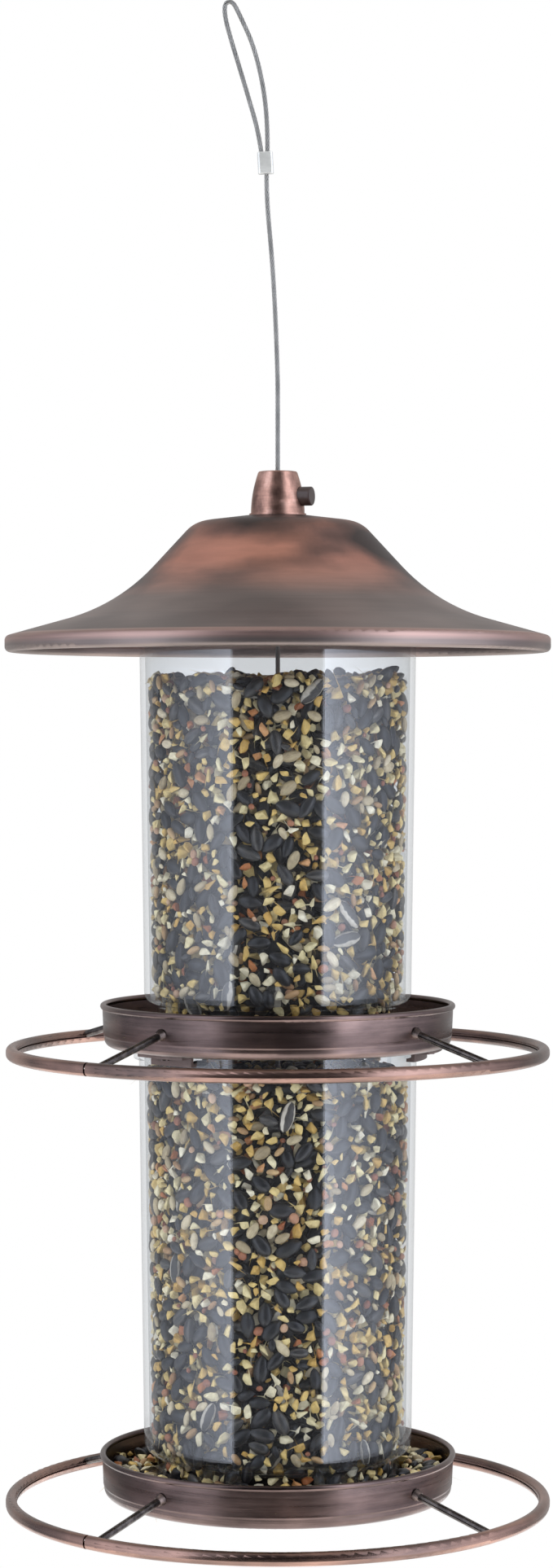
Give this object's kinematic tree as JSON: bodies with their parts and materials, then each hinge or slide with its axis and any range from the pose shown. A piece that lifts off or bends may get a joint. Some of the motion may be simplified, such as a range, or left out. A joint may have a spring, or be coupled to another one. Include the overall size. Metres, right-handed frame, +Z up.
{
  "type": "hanging bird feeder",
  "caption": "Hanging tiered tube seed feeder with clear tubes, round trays, perch rings and a copper roof that slides up its wire-rope hanger.",
  "frame": {"origin": "on the feeder's axis, level with the underside of the lower perch ring", "axes": "+Z up along the feeder's axis, -Y towards the front, +X to the right seen from the front"},
  "size_m": [0.235, 0.235, 0.6492],
  "materials": {
    "antique_copper": "antique copper plating, brushed round the axis",
    "bright_copper": "copper plating, lightly brushed",
    "dark_bronze": "dark bronze plating",
    "brown_enamel": "matt brown enamel",
    "clear_plastic": "clear moulded plastic",
    "brown_plastic": "dark brown moulded plastic",
    "black_plastic": "black moulded plastic",
    "stainless_steel": "bright stainless wire",
    "zinc_steel": "zinc plated",
    "pressed_aluminium": "pressed aluminium",
    "mixed_seed": "loose bird seed"
  },
  "bodies": {
    "base": {"lower_tray": "antique_copper", "lower_perch_ring": "bright_copper", "lower_perch_arm_1": "dark_bronze", "lower_perch_arm_2": "dark_bronze", "lower_perch_arm_3": "dark_bronze", "lower_perch_arm_4": "dark_bronze", "lower_arm_welds": "dark_bronze", "lower_tube": "clear_plastic", "lower_tube_foot": "clear_plastic", "lower_foot_screws": "zinc_steel", "lower_foot_nuts": "zinc_steel", "lower_tube_seed": "mixed_seed", "lower_tray_seed": "mixed_seed", "base_washer": "zinc_steel", "cable_stop": "stainless_steel", "hanging_cable": "stainless_steel", "loop_ferrule": "pressed_aluminium"},
    "upper_tier": {"upper_tray": "antique_copper", "upper_perch_ring": "bright_copper", "upper_perch_arm_1": "dark_bronze", "upper_perch_arm_2": "dark_bronze", "upper_perch_arm_3": "dark_bronze", "upper_perch_arm_4": "dark_bronze", "upper_arm_welds": "dark_bronze", "upper_tube": "clear_plastic", "upper_tube_foot": "clear_plastic", "upper_foot_screws": "zinc_steel", "upper_foot_nuts": "zinc_steel", "upper_tube_seed": "mixed_seed", "bayonet_tab_1": "brown_enamel", "bayonet_tab_2": "brown_enamel", "bayonet_tab_3": "brown_enamel", "tab_rivets": "dark_bronze"},
    "cable_bush": {"cable_grommet": "black_plastic"},
    "roof": {"roof_crown": "antique_copper", "roof_shoulder": "antique_copper", "roof_brim": "antique_copper", "tube_locator": "brown_plastic", "neck_cap": "bright_copper", "lock_body": "brown_plastic", "lock_nut": "brown_plastic"},
    "button": {"push_button": "brown_plastic", "button_spring": "stainless_steel"}
  },
  "joints": [
    {"name": "tier_twist", "type": "hinge", "parent": "base", "child": "upper_tier", "pos_m": [0, 0, 0.1981], "axis": [0, 0, -1], "range_deg": [0, 13.5]},
    {"name": "roof_lift", "type": "slide", "parent": "base", "child": "cable_bush", "axis": [0, 0, 1], "range_m": [0, 0.045]},
    {"name": "roof_turn", "type": "hinge", "parent": "cable_bush", "child": "roof", "pos_m": [0, 0, 0.445], "axis": [0, 0, 1], "continuous": true},
    {"name": "button_press", "type": "slide", "parent": "roof", "child": "button", "axis": [-0.9397, 0.342, 0], "range_m": [0, 0.0018], "stiffness_N_per_m": 1200, "springref_m": -0.002, "deforming": ["button_spring"]}
  ]
}
